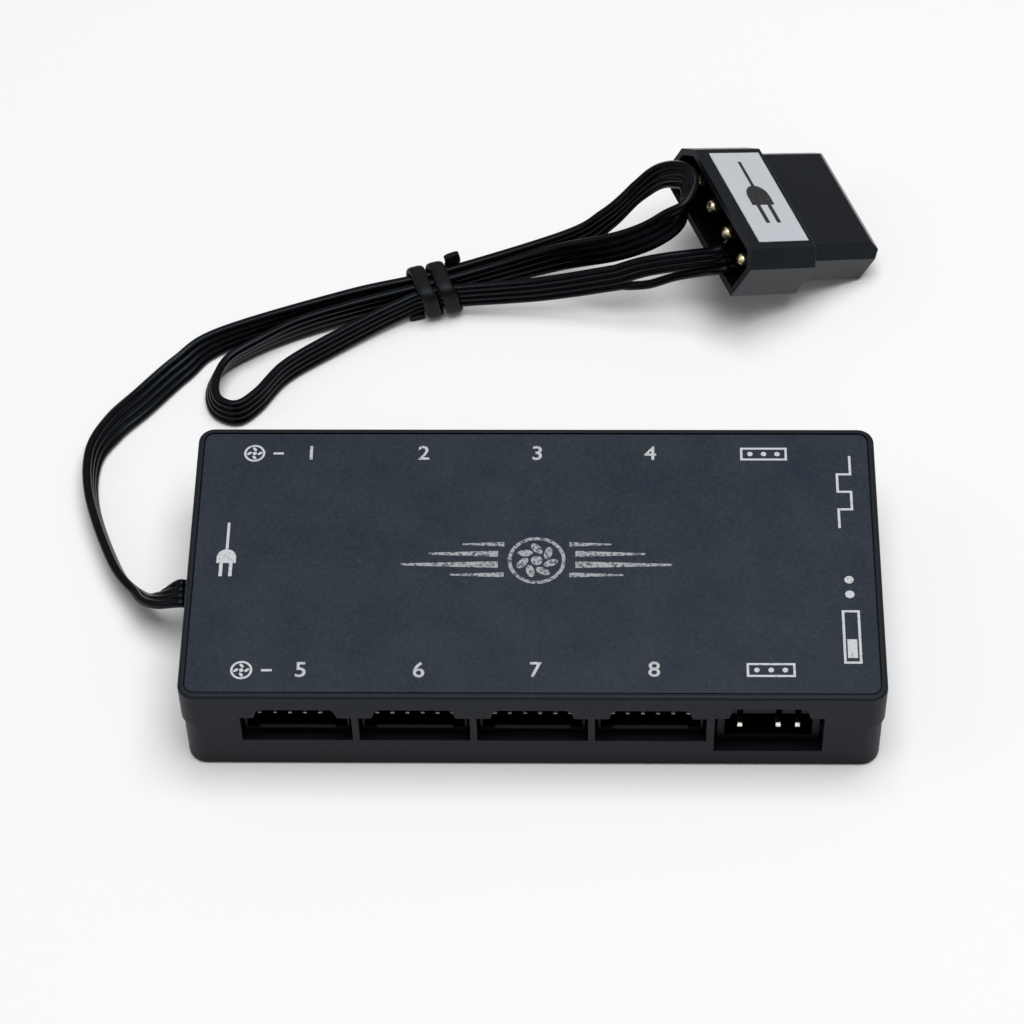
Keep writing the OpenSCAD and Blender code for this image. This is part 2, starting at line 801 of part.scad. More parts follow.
// The cable's end inside the case: its four cores go down into the board
module cable_tail() {
    color("#161616") {
        translate([-case_l / 2, -cable_w / 2, cable_z - cable_t / 2])
            cube([tail_flat, cable_w, cable_t]);
        for (k = [0 : 3])
            translate([0, (k - 1.5) * core_pitch, 0]) {
                translate([tail_flat - join - case_l / 2, 0, cable_z])
                    rotate([0, 90, 0])
                        cylinder(d = core_d, h = tail_x + case_l / 2 - tail_flat + join);
                translate([tail_x, 0, cable_z])
                    sphere(d = core_d);
                translate([tail_x, 0, board_z - solder_out])
                    cylinder(d = core_d, h = cable_z - board_z + solder_out);
            }
    }
}

module power_cable() {
    color("#1d1f22")
        sweep(curve(ROUTE, 2), curve(WIDTH_WAY, 2), flat_section(cable_w, cable_t, cable_c));
}

// How the connector lies: its nose on the surface and its mouth held up by the cable
mouth_z = sin(plug_down) * power_l
    + cos(plug_down) * (sin(plug_roll) * plug_w / 2 + cos(plug_roll) * plug_bottom);
function turn_x(v, a) = [v[0], v[1] * cos(a) - v[2] * sin(a), v[1] * sin(a) + v[2] * cos(a)];
function turn_y(v, a) = [v[0] * cos(a) + v[2] * sin(a), v[1], v[2] * cos(a) - v[0] * sin(a)];
function turn_z(v, a) = [v[0] * cos(a) - v[1] * sin(a), v[0] * sin(a) + v[1] * cos(a), v[2]];
function from_connector(v) = [mouth_x, mouth_y, mouth_z]
    + turn_z(turn_y(turn_x(v, plug_roll), plug_down), plug_turn);

module at_connector() {
    translate([mouth_x, mouth_y, mouth_z])
        rotate([plug_roll, plug_down, plug_turn])
            children();
}

// The cable is slit before the mouth: each pair of cores runs on to its own crimp
PAIR_CRIMP = [-1.5, -0.5];
PAIR_AT_RIM = [-7.3, -4.5];
module connector_wires() {
    last = len(ROUTE) - 1;
    start = ROUTE[last];
    way_in = unit(start - ROUTE[last - 1]);
    up = upright(WIDTH_WAY[last], way_in);
    across = from_connector([0, 1, 0]) - from_connector([0, 0, 0]);
    color("#1d1f22")
        for (k = [0, 1]) {
            y = PAIR_CRIMP[k] * power_pitch;
            lift = (2 * k - 1) * core_pitch * up;
            p = [
                start + lift,
                start + 3 * way_in + pair_spread * lift,
                from_connector([-rim_before, PAIR_AT_RIM[k], -pair_drop]),
                from_connector([barrel_x - crimp_before, y, -barrel_drop]),
                from_connector([barrel_x + crimp_inside, y, -barrel_drop])
            ];
            sweep(
                curve(p, 3), curve([up, up, up + across, across, across], 3),
                flat_section(2 * core_pitch - pair_gap, pair_t, pair_c)
            );
        }
}

// A plastic-coated tie wound round the folded cable, with one end that stands up
module cable_tie() {
    run = unit(tie_run);
    side = unit(cross([0, 0, 1], run));
    up = cross(run, side);
    half_w = strand_gap + cable_t / 2 + tie_slack_w + tie_t / 2;
    half_h = cable_w / 2 + tie_slack_h + tie_t / 2;
    steps = 50;
    function bow(v) = sign(v) * pow(abs(v), tie_soft);
    function tie_point(i) = let (a = tie_start + (tie_end - tie_start) * i / steps)
        tie_at + bow(cos(a)) * half_w * side + bow(sin(a)) * half_h * up
        + (a / 360 - 1) * tie_step * run;
    points = concat(
        [tie_point(0) - tie_tuck * side],
        [for (i = [0 : steps]) tie_point(i)],
        [tie_point(steps) + tie_end_l * unit(tie_end_way * [run, side, up])]
    );
    color("#1a1a1b")
        sweep(points, [for (p = points) run], flat_section(tie_w, tie_t, tie_c));
}

// Outline of the connector across its length: the two upper corners are cut
function connector_outline(w, high, low, c) = [
    [-w / 2, -low], [w / 2, -low], [w / 2, -high - c], [w / 2 - c, -high],
    [c - w / 2, -high], [-w / 2, -high - c]
];

module connector_prism(x0, x1, points) {
    translate([x0, 0, 0])
        rotate([90, 0, 90])
            linear_extrude(x1 - x0)
                polygon(points);
}

module connector_housing() {
    color("#191b1e")
        at_connector()
            difference() {
                union() {
                    connector_prism(0, shroud_l, connector_outline(shroud_w, 0, shroud_h, shroud_c));
                    intersection() {
                        connector_prism(
                            shroud_l - 1, power_l,
                            connector_outline(plug_w, plug_top, plug_bottom, plug_c)
                        );
                        translate([0, plug_w, 0])
                            rotate([90, 0, 0])
                                linear_extrude(2 * plug_w)
                                    polygon([
                                        [joint_x, 0], [power_l - end_bevel, 0],
                                        [power_l - end_bevel, -plug_top],
                                        [power_l, -plug_top - end_drop],
                                        [power_l, -plug_bottom], [joint_x, -plug_bottom]
                                    ]);
                        translate([0, 0, -plug_bottom - cut])
                            linear_extrude(plug_bottom + 2 * cut)
                                polygon([
                                    [joint_x, -plug_w / 2], [power_l - corner_cut / 2, -plug_w / 2],
                                    [power_l, corner_cut - plug_w / 2], [power_l, plug_w / 2 - corner_cut],
                                    [power_l - corner_cut / 2, plug_w / 2], [joint_x, plug_w / 2]
                                ]);
                    }
                }
                connector_prism(
                    -cut, mouth_depth,
                    connector_outline(
                        shroud_w - 2 * shroud_t, shroud_t, shroud_h - shroud_t, shroud_c - shroud_thin
                    )
                );
                for (k = [0 : 3])
                    translate([0, pin_x(k, 4, power_pitch), -pin_drop]) {
                        translate([mouth_depth - cut, 0, 0])
                            rotate([0, 90, 0])
                                cylinder(d = power_pin_d + 2 * pin_gap, h = power_l);
                        translate([power_l - socket_depth, 0, 0])
                            rotate([0, 90, 0])
                                cylinder(d = socket_d, h = socket_depth + cut);
                    }
            }
}

// Each terminal goes right through: a pin in the mouth and a tube in the plug end
module connector_terminals() {
    tube_d = socket_d - 2 * tube_gap;
    tube_x = power_l - socket_depth + tube_gap;
    color("#d9b867")
        at_connector()
            for (k = [0 : 3])
                translate([0, pin_x(k, 4, power_pitch), -pin_drop]) {
                    difference() {
                        union() {
                            translate([pin_inset + power_pin_d / 2, 0, 0])
                                sphere(d = power_pin_d);
                            translate([pin_inset + power_pin_d / 2, 0, 0])
                                rotate([0, 90, 0])
                                    cylinder(d = power_pin_d, h = tube_x - pin_inset);
                            translate([tube_x, 0, 0])
                                rotate([0, 90, 0])
                                    cylinder(d = tube_d, h = socket_depth - tube_back);
                        }
                        translate([tube_x + tube_back, 0, 0])
                            rotate([0, 90, 0])
                                cylinder(d = tube_d - 2 * contact_t, h = socket_depth);
                    }
                    if (k < 2)
                        translate([barrel_x, 0, 0]) {
                            translate([0, 0, pin_drop - barrel_drop])
                                rotate([90, 0, 90])
                                    linear_extrude(barrel_l) {
                                        square([barrel_w - barrel_h, barrel_h], center = true);
                                        for (y = [-1, 1])
                                            translate([y * (barrel_w - barrel_h) / 2, 0])
                                                circle(d = barrel_h);
                                    }
                            translate([barrel_l / 2, -post_w / 2, pin_drop - barrel_drop])
                                cube([barrel_l / 2, post_w, barrel_drop - pin_drop]);
                        }
                }
}

module connector_sticker() {
    color("#f2f2f0")
        at_connector()
            translate([sticker_x, sticker_y - sticker_w / 2, 0])
                cube([sticker_l, sticker_w, sticker_t]);
}

top_shell();
bottom_shell();
face_label();
circuit_board();
for (i = [0 : len(FAN_PORTS) - 1]) {
    at_port(FAN_PORTS[i]) fan_header();
    at_port(FAN_PORTS[i]) fan_pins();
}
for (i = [0 : len(LED_PORTS) - 1]) {
    at_port(LED_PORTS[i]) led_header();
    at_port(LED_PORTS[i]) led_pins();
}
switch_body();
switch_slider();
switch_terminals();
controller_chip();
filter_capacitor();
chip_parts();
board_screws();
cable_grommet();
cable_tail();
power_cable();
connector_wires();
cable_tie();
connector_housing();
connector_terminals();
connector_sticker();
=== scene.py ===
# %% [markdown]
# # A fan hub with its power cable
# The hub is a flat black case that shares out power to fans. This lesson dresses its
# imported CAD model: the case and the sockets keep their CAD shapes and get moulded
# plastic, metal and film finishes, and the soft things, such as the flat cable, are
# made again with more shape than a CAD solid needs.

import math

import bmesh
import bpy
from mathutils import Euler, Matrix, Vector


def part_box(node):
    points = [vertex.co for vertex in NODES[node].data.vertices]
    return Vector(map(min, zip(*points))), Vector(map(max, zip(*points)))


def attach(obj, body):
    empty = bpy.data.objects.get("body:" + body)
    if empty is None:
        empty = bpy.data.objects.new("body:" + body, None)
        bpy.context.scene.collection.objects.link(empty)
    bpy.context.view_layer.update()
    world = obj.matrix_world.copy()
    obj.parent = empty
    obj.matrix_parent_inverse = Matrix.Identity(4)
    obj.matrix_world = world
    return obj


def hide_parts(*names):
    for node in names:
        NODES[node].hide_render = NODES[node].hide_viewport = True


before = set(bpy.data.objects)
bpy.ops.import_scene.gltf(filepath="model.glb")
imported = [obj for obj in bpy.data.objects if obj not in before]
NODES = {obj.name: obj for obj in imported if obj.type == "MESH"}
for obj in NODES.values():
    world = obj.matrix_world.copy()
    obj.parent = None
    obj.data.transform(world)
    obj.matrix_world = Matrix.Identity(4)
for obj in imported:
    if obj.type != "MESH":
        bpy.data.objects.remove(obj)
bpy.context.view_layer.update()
MM = 0.001
print("CAD nodes:", len(NODES))

# %% [markdown]
# ## The camera
# A photograph of a small thing is taken from some distance with a long lens, so its
# edges stay almost parallel. The camera here stands 48 cm away and looks down on the
# label at about 53 degrees.

# %% Camera
camera_data = bpy.data.cameras.new("camera")
camera_data.sensor_width = 36
camera_data.lens = 122.55
camera_data.clip_start = 0.01
camera_data.clip_end = 20
camera = bpy.data.objects.new("camera", camera_data)
camera.location = Vector((7.97, -277.77, 392.32)) * MM
camera.rotation_euler = [math.radians(angle) for angle in (37.22, 1.004, 0.884)]
bpy.context.scene.collection.objects.link(camera)
bpy.context.scene.camera = camera
print("lens in millimetres:", round(camera_data.lens, 1))

# %% [markdown]
# ## Helpers for meshes
# Every new piece starts as a bmesh, is shaped by operators in place, and becomes an
# object at the origin that rides on the case. A piece that stands for CAD nodes hides
# them.


# %% Turn a bmesh into a piece of the hub
def piece_from(bm, name, smooth_below=None, stands_for=()):
    bmesh.ops.recalc_face_normals(bm, faces=bm.faces)
    mesh = bpy.data.meshes.new(name)
    bm.to_mesh(mesh)
    bm.free()
    if smooth_below is not None:
        mesh.shade_smooth()
        mesh.set_sharp_from_angle(angle=math.radians(smooth_below))
    piece = bpy.data.objects.new(name, mesh)
    bpy.context.scene.collection.objects.link(piece)
    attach(piece, "case")
    if stands_for:
        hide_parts(*stands_for)
    print(name, "has", len(mesh.polygons), "faces")
    return piece


# %% [markdown]
# ## The cable's route
# The cable is flat, with four cores side by side. It leaves the case through a
# grommet, stands on its edge on the floor, and is folded twice so that a tie holds
# three strands of it. The points are the CAD route's own, in millimetres here and
# turned into metres at once, and each has the way that the cable's width points.

# %% Points of the route
ROUTE = [
    [-46.5, 0, 8], [-47.6, 0, 8], [-48.7, 0, 8], [-51.4, 0.6, 6.2], [-54.4, 3.2, 3.4],
    [-58.3, 8.3, 2.3], [-62.6, 19.5, 2.3], [-63.3, 28, 2.2], [-60.9, 33.7, 2.1],
    [-57.2, 38.6, 1.8], [-51.9, 45.1, 1.8], [-46.1, 50.1, 2.2], [-28, 57.1, 2.8],
    [-15, 60.3, 3.6], [4, 65.2, 6.6], [10, 67.4, 9.2],
    [14.5, 70.3, 12], [17.9, 70.5, 15], [21.1, 68.3, 17.5], [21.9, 66, 17.1],
    [20.6, 63, 15.7], [17, 61.2, 13.3], [11.5, 61, 10.4], [3.5, 61.9, 7.2],
    [-5, 61, 4.9], [-15, 58.6, 3.6], [-27, 55.3, 2.7], [-35, 52.4, 2.3],
    [-41, 48.9, 2.3], [-45.6, 45.3, 2.2], [-47.1, 41.2, 2.2], [-46.3, 37.6, 2.2],
    [-43.3, 36.3, 2.2], [-40.4, 38.7, 2.2], [-36.7, 44, 2.2], [-30, 49.1, 2.4],
    [-21, 54.8, 3], [-15, 56.9, 3.6], [0, 57.2, 5.2], [12, 56.8, 8.4],
]
WIDTH_WAY = [
    [0, -1, 0], [0, -1, 0], [0, -1, 0], [-0.1, -0.9, 0.5], [-0.3, -0.4, 0.9],
    [-0.3, 0, 1], [-0.2, 0, 1], [-0.3, 0, 1], [-0.5, 0.2, 0.9],
    [-0.6, 0.4, 0.7], [-0.5, 0.4, 0.8], [-0.2, 0.2, 1], [0, 0, 1],
    [0, 0, 1], [0, 0.1, 1], [0, 0.1, 1],
    [0.1, 0, 1], [0.3, -0.1, 1], [0.4, -0.1, 0.9], [0.4, 0.1, 0.9],
    [0.3, 0.3, 0.9], [0.1, 0.5, 0.8], [0, 0.5, 0.9], [0, 0.3, 1],
    [0, 0.1, 1], [0, 0, 1], [0, 0, 1], [0, 0, 1],
    [0.2, -0.1, 1], [0.4, 0, 1], [0.4, 0, 1], [0.2, 0.1, 1],
    [0, 0.2, 1], [0, 0.2, 1], [0, 0.1, 1], [0, 0.1, 1],
    [0, 0, 1], [0, 0, 1], [0, 0.1, 1], [0, 0.2, 1],
]
ROUTE_STEPS = 8
print("points of the route:", len(ROUTE))


# %% [markdown]
# ## A smooth curve through points
# A Catmull-Rom curve passes through every point, which keeps the cable where the CAD
# has it. Along the curve, each place gets a matrix: its z axis runs along the cable,
# its x axis lies across the width, and its y axis through the thickness.


# %% Curve and frames
def smooth_line(points, steps):
    points = [Vector(point) for point in points]
    last = len(points) - 1
    line = []
    for i in range(last):
        a, b = points[max(i - 1, 0)], points[i]
        c, d = points[i + 1], points[min(i + 2, last)]
        for k in range(steps):
            f = k / steps
            line.append(
                0.5 * (2 * b + (c - a) * f + (2 * a - 5 * b + 4 * c - d) * f**2
                       + (3 * b - a - 3 * c + d) * f**3)
            )
    return line + [points[last]]


def frames_along(line, width_ways):
    last = len(line) - 1
    frames = []
    for i, (place, way) in enumerate(zip(line, width_ways)):
        forward = (line[min(i + 1, last)] - line[max(i - 1, 0)]).normalized()
        across = (way - way.dot(forward) * forward).normalized()
        through = forward.cross(across)
        turned = Matrix((across, through, forward)).transposed().to_4x4()
        frames.append(Matrix.Translation(place) @ turned)
    return frames


# %% [markdown]
# ## Sweeping a section
# A tube is one section, extruded again and again: each step copies the last ring of
# edges and carries the copy from one frame to the next. Two float layers remember how
# far along and how far round every point is, and they become the UV map that the
# cable's fine streaks follow.


# %% Sweep
def sweep(bm, section, frames):
    along = bm.verts.layers.float.get("along") or bm.verts.layers.float.new("along")
    round_it = bm.verts.layers.float.get("round") or bm.verts.layers.float.new("round")
    ring = [bm.verts.new((x, y, 0)) for x, y in section]
    for k, vert in enumerate(ring):
        vert[round_it] = k / len(ring)
    cap = bm.faces.new(ring)
    edges = list(cap.edges)
    bmesh.ops.transform(bm, matrix=frames[0], verts=ring)
    gone = 0.0
    for before, after in zip(frames, frames[1:]):
        grown = bmesh.ops.extrude_edge_only(bm, edges=edges)["geom"]
        verts = [part for part in grown if isinstance(part, bmesh.types.BMVert)]
        edges = [
            part for part in grown
            if isinstance(part, bmesh.types.BMEdge) and part.is_boundary
        ]
        bmesh.ops.transform(bm, matrix=after @ before.inverted(), verts=verts)
        gone += (after.translation - before.translation).length
        for vert in verts:
            vert[along] = gone
    bmesh.ops.holes_fill(bm, edges=edges, sides=0)


def unwrap_sweep(bm):
    along = bm.verts.layers.float["along"]
    round_it = bm.verts.layers.float["round"]
    uv = bm.loops.layers.uv.new("UVMap")
    for face in bm.faces:
        turns = [loop.vert[round_it] for loop in face.loops]
        for loop, turn in zip(face.loops, turns):
            wrapped = turn + 1 if max(turns) - turn > 0.5 else turn
            loop[uv].uv = (wrapped, loop.vert[along])


# %% [markdown]
# ## The flat cable
# Flat cable is four cores in one skin. One broad face has a plain groove between
# neighbouring cores, the other has shallow ones, and the narrow edges are round. The
# section is drawn as low arches, one for each core on each face, and two half rounds.
# A curve object with a bevel could do this too, but it chooses its own twist, and
# this cable's twist is what makes it lie flat in one place and stand in another.

# %% Section of the flat cable
CORE_PITCH = 1.03 * MM
CABLE_T = 1.26 * MM
GROOVE_D = 0.22 * MM
SHALLOW_D = 0.12 * MM
EDGE_BULGE = 0.25
ARCH_POINTS = 6
EDGE_POINTS = 6


def broad_face(cores, groove):
    half_w = cores * CORE_PITCH / 2
    face = []
    for k in range(cores):
        for i in range(ARCH_POINTS):
            u = 2 * i / ARCH_POINTS - 1
            x = half_w - (k + (u + 1) / 2) * CORE_PITCH
            face.append((x, CABLE_T / 2 - groove * u * u))
    return face


def flat_cable_section(cores):
    half_w = cores * CORE_PITCH / 2
    edge_r = CABLE_T / 2 - GROOVE_D
    edge = []
    for i in range(EDGE_POINTS):
        a = math.radians(90 + 180 * i / EDGE_POINTS)
        edge.append((EDGE_BULGE * edge_r * math.cos(a) - half_w, edge_r * math.sin(a)))
    back = broad_face(cores, SHALLOW_D) + edge
    return broad_face(cores, GROOVE_D) + edge + [(-x, -y) for x, y in back]


print("points round the section:", len(flat_cable_section(4)))

# %% Make the flat cable
MERGE = 0.01 * MM


def cable_piece(bm, name, stands_for):
    bmesh.ops.remove_doubles(bm, verts=bm.verts, dist=MERGE)
    unwrap_sweep(bm)
    return piece_from(bm, name, 50, [stands_for])


route_line = [point * MM for point in smooth_line(ROUTE, ROUTE_STEPS)]
route_frames = frames_along(route_line, smooth_line(WIDTH_WAY, ROUTE_STEPS))
bm = bmesh.new()
sweep(bm, flat_cable_section(4), route_frames)
flat_cable = cable_piece(bm, "flat_cable", "power_cable")
cable_length = sum((b - a).length for a, b in zip(route_line, route_line[1:]))
print("cable length in millimetres:", round(cable_length / MM, 1))

# %% [markdown]
# ## Where the power connector lies
# The connector rests on the nose of its plug and is held up by the folded cable, so
# it is turned about all three axes. One matrix takes places written in the
# connector's own axes, x from its mouth to its nose, into the hub's.

# %% The connector's own axes
MOUTH = Vector((26.6, 62.7, 18.68)) * MM
CONNECTOR_TURN = Euler([math.radians(angle) for angle in (8.7, 26.4, 28.7)])
CONNECTOR = Matrix.Translation(MOUTH) @ CONNECTOR_TURN.to_matrix().to_4x4()
print("height of the mouth in millimetres:", round(MOUTH.z / MM, 2))

# %% [markdown]
# ## The slit end
# Just before the connector the cable is slit. Three cores run on together and the
# fourth by itself, with a narrow gap between them, and both enter the mouth over its
# lower edge. Each branch starts at its cores' own place in the cable's width, and its
# last three points are written in the connector's axes.

# %% Make the two branches
BRANCH_LAP = 0.3 * MM
end, before = route_line[-1], route_line[-2]
forward = (end - before).normalized()
upright = route_frames[-1].col[0].xyz
across = CONNECTOR.col[1].xyz
three_cores = [(14.9, 56.8, 10.5), (18.5, 56.9, 11.4), (22.5, 57.2, 11.85)]
three_inside = [(-0.3, -6.0, -5.5), (3.0, -4.4, -5.8), (5.4, -3.2, -6.0)]
one_core = [
    (13.6, 56.8, 6.45), (16.3, 56.8, 6.85), (19.8, 56.8, 8.45), (23.5, 56.2, 10.1),
]
one_inside = [(-0.2, -7.6, -6.8), (2.6, -7.62, -6.2), (5.0, -7.62, -6.1)]
bm = bmesh.new()
for cores, middle, outside, inside in (
    (3, 0.5, three_cores, three_inside), (1, -1.5, one_core, one_inside)
):
    points = [end + middle * CORE_PITCH * upright - BRANCH_LAP * forward]
    points += [Vector(point) * MM for point in outside]
    points += [CONNECTOR @ (Vector(point) * MM) for point in inside]
    ways = [upright] * (len(outside) + 2) + [upright + across, across]
    line = smooth_line(points, ROUTE_STEPS)
    frames = frames_along(line, smooth_line(ways, ROUTE_STEPS))
    sweep(bm, flat_cable_section(cores), frames)
branches = cable_piece(bm, "cable_branches", "connector_wires")

# %% [markdown]
# ## The connector's terminals
# Each terminal is a pin with a domed tip in the mouth and a tube in the plug. The pins
# are loose in the housing, so their tips hang a little below its bores. Two of them
# have a crimp, a barrel of metal that is pressed round the cores. All of them are
# turned parts, so each is half an outline that a spin carries once round.

# %% Sizes of a terminal
PIN_R = 1.07 * MM
PIN_PLACES = (-7.62, -2.54, 2.54, 7.62)
PIN_TIP = Vector((1.45, 0, -4.75)) * MM
PIN_ROOT = Vector((11.0, 0, -3.55)) * MM
TUBE_R = 1.6 * MM
TUBE_WALL = 0.35 * MM
TUBE_START, TUBE_END = 16.7 * MM, 25.0 * MM
CRIMP_START, CRIMP_END = 4.3 * MM, 7.9 * MM
CRIMP_R = 1.05 * MM
CRIMP_Z = -6.1 * MM
CHAMFER = 0.1 * MM
LONG_CHAMFER = 0.3 * MM
AXIS_MERGE = 0.002 * MM


def spun(bm, outline, place):
    made_before = set(bm.verts)
    verts = [bm.verts.new((r, 0, z)) for r, z in outline]
    edges = [bm.edges.new(pair) for pair in zip(verts, verts[1:])]
    bmesh.ops.spin(
        bm, geom=verts + edges, axis=(0, 0, 1), cent=(0, 0, 0), angle=math.tau,
        steps=28, use_merge=True,
    )
    made = [vert for vert in bm.verts if vert not in made_before]
    bmesh.ops.transform(bm, matrix=place, verts=made)


# %% Make the terminals
pin_run = PIN_ROOT - PIN_TIP
pin_turn = pin_run.to_track_quat("Z", "Y").to_matrix().to_4x4()
pin = []
for degrees in range(0, 91, 15):
    a = math.radians(degrees)
    pin.append((PIN_R * math.sin(a), PIN_R * (1 - math.cos(a))))
pin += [(PIN_R, pin_run.length), (0, pin_run.length)]
bore_r = TUBE_R - TUBE_WALL
tube = [
    (0, TUBE_START), (TUBE_R, TUBE_START), (TUBE_R, TUBE_END),
    (bore_r + CHAMFER, TUBE_END), (bore_r, TUBE_END - CHAMFER),
    (bore_r, TUBE_START + TUBE_WALL), (0, TUBE_START + TUBE_WALL),
]
crimp = [
    (0, CRIMP_START), (CRIMP_R - CHAMFER, CRIMP_START),
    (CRIMP_R, CRIMP_START + LONG_CHAMFER), (CRIMP_R, CRIMP_END), (0, CRIMP_END),
]
along_x = Matrix.Rotation(math.radians(90), 4, "Y")
bm = bmesh.new()
for y in PIN_PLACES:
    aside = CONNECTOR @ Matrix.Translation((0, y * MM, 0))
    spun(bm, pin, aside @ Matrix.Translation(PIN_TIP) @ pin_turn)
    spun(bm, tube, aside @ Matrix.Translation((0, 0, PIN_ROOT.z)) @ along_x)
for y in PIN_PLACES[:2]:
    spun(bm, crimp, CONNECTOR @ Matrix.Translation((0, y * MM, CRIMP_Z)) @ along_x)
bmesh.ops.remove_doubles(bm, verts=bm.verts, dist=AXIS_MERGE)
terminals = piece_from(bm, "connector_pins", 40, ["connector_terminals"])

# %% [markdown]
# ## The tie
# A twist tie is a wire inside a plastic strip. It stays as it was bent, so the strip
# follows a rounded rectangle round the three strands, a little further along with
# every turn. One end is tucked in below, and the other stands up as a short blade.

# %% The line of the tie
TIE_AT = Vector((-15, 58.6, 3.6)) * MM
TIE_RUN = Vector((1, 0.24, 0.08)).normalized()
TIE_START, TIE_END = -110, 752
TIE_STEP = 2.9 * MM
TIE_W = 2.3 * MM
TIE_T = 1.0 * MM
TIE_HALF_W, TIE_HALF_H = 3.1 * MM, 2.75 * MM
TIE_POINTS = 150
TUCKED_L = 0.4 * MM
BLADE_BEND = 0.5 * MM
BLADE_H = 1.3 * MM
BLADE_STEPS = 5


def rounded_square(degrees, power):
    a = math.radians(degrees)
    return [math.copysign(abs(v) ** power, v) for v in (math.cos(a), math.sin(a))]


def tie_line():
    side = Vector((0, 0, 1)).cross(TIE_RUN).normalized()
    up = TIE_RUN.cross(side)
    turns = []
    for i in range(TIE_POINTS + 1):
        degrees = TIE_START + (TIE_END - TIE_START) / TIE_POINTS * i
        across, upright = rounded_square(degrees, 0.45)
        run = (degrees / 360 - 1) * TIE_STEP
        turns.append(
            TIE_AT + across * TIE_HALF_W * side + upright * TIE_HALF_H * up + run * TIE_RUN
        )
    tucked = turns[0] - TUCKED_L * side
    bend = turns[-1] + BLADE_BEND * up
    tip = turns[-1] + BLADE_H * (up + 0.1 * side - 0.1 * TIE_RUN).normalized()
    shares = [(k + 1) / BLADE_STEPS for k in range(BLADE_STEPS)]
    blade = [turns[-1].lerp(bend, f).lerp(bend.lerp(tip, f), f) for f in shares]
    return [tucked, *turns, *blade]


# %% Make the tie
tie_section = []
for degrees in range(0, 360, 15):
    x, y = rounded_square(degrees, 0.75)
    tie_section.append((x * TIE_W / 2, y * TIE_T / 2))
line = tie_line()
bm = bmesh.new()
sweep(bm, tie_section, frames_along(line, [TIE_RUN] * len(line)))
unwrap_sweep(bm)
tie = piece_from(bm, "twist_tie", 50, ["cable_tie"])

# %% [markdown]
# ## Writing shader maths as Python
# A material is a graph of nodes, which is slow to read when every node is made by
# hand. `Number` wraps a socket that carries one number, so that sums and products
# written in Python add the Math nodes. `Graph.node` is the single way in which any
# other node is made, and a `Finish` is the graph of one material.


# %% Shader numbers
class Number:
    def __init__(self, graph, socket):
        self.graph, self.socket = graph, socket

    def maths(self, operation, first, second):
        sockets = {0: first, 1: second}
        node = self.graph.node("ShaderNodeMath", {"operation": operation}, sockets)
        return Number(self.graph, node.outputs[0])

    def __add__(self, other):
        return self.maths("ADD", self, other)

    def __sub__(self, other):
        return self.maths("SUBTRACT", self, other)

    def __rsub__(self, other):
        return self.maths("SUBTRACT", other, self)

    def __mul__(self, other):
        return self.maths("MULTIPLY", self, other)

    __radd__ = __add__
    __rmul__ = __mul__


# %% A graph and its nodes
class Graph:
    def __init__(self, tree):
        self.tree = tree

    def fill(self, node, sockets):
        for name, value in sockets.items():
            value = value.socket if isinstance(value, Number) else value
            if isinstance(value, bpy.types.NodeSocket):
                self.tree.links.new(value, node.inputs[name])
            else:
                node.inputs[name].default_value = value

    def node(self, kind, settings=None, sockets=None):
        node = self.tree.nodes.new(kind)
        for name, value in (settings or {}).items():
            setattr(node, name, value)
        self.fill(node, sockets or {})
        return node

    def number(self, node, output):
        return Number(self, node.outputs[output])

    def ramp(self, number, low, high):
        node = self.node("ShaderNodeMapRange", {}, {
            "Value": number, "From Min": low, "From Max": high,
        })
        return self.number(node, "Result")


# %% A finish is the graph of one material
class Finish(Graph):
    def __init__(self, name, constants):
        self.material = bpy.data.materials.new(name)
        self.material.use_nodes = True
        super().__init__(self.material.node_tree)
        self.shader = self.tree.nodes["Principled BSDF"]
        self.fill(self.shader, constants)
        print("finish:", name)

    def places(self):
        return self.node("ShaderNodeTexCoord").outputs["Object"]

    def noise(self, scale, detail=2.0, vector=None, roughness=0.5):
        node = self.node("ShaderNodeTexNoise", {}, {
            "Vector": vector or self.places(), "Scale": scale, "Detail": detail,
            "Roughness": roughness,
        })
        return self.number(node, "Fac")

    def mix(self, share, *colours):
        first, second = [(*c, 1) if isinstance(c, tuple) else c for c in colours]
        sockets = {"Factor": share, "A": first, "B": second}
        return self.node("ShaderNodeMix", {"data_type": "RGBA"}, sockets).outputs["Result"]

    def bump(self, height, depth, soft_edge=0.0):
        sockets = {"Height": height, "Distance": depth}
        if soft_edge:
            bevel = self.node("ShaderNodeBevel", {"samples": 6}, {"Radius": soft_edge})
            sockets["Normal"] = bevel.outputs["Normal"]
        node = self.node("ShaderNodeBump", {}, sockets)
        self.fill(self.shader, {"Normal": node.outputs["Normal"]})


# %% [markdown]
# ## Moulded plastic
# The case comes out of a spark-eroded mould, which leaves a fine grain on every
# face. The grain is a small bump, the tone drifts a little, and the Bevel node
# rounds the sharp CAD edges in the shading alone, so that they catch the light.
# Shade is painted into the hollows: the Ambient Occlusion node finds them, and there
# the base colour is mixed to a painted near black. The connector's mouth is deep, so
# there the node looks further, and at the housing alone.


# %% Moulded plastic
BLUE_SHEEN = (0.78, 0.88, 1, 1)
# Painted shade: the near-black colour that hollows take, and how far the AO node looks for
# them.
PAINTED_SHADE_BLACK = (0.0004, 0.0004, 0.0005)
PAINTED_SHADE_REACH = 4 * MM
MOUTH_PAINTED_SHADE_REACH = 10 * MM


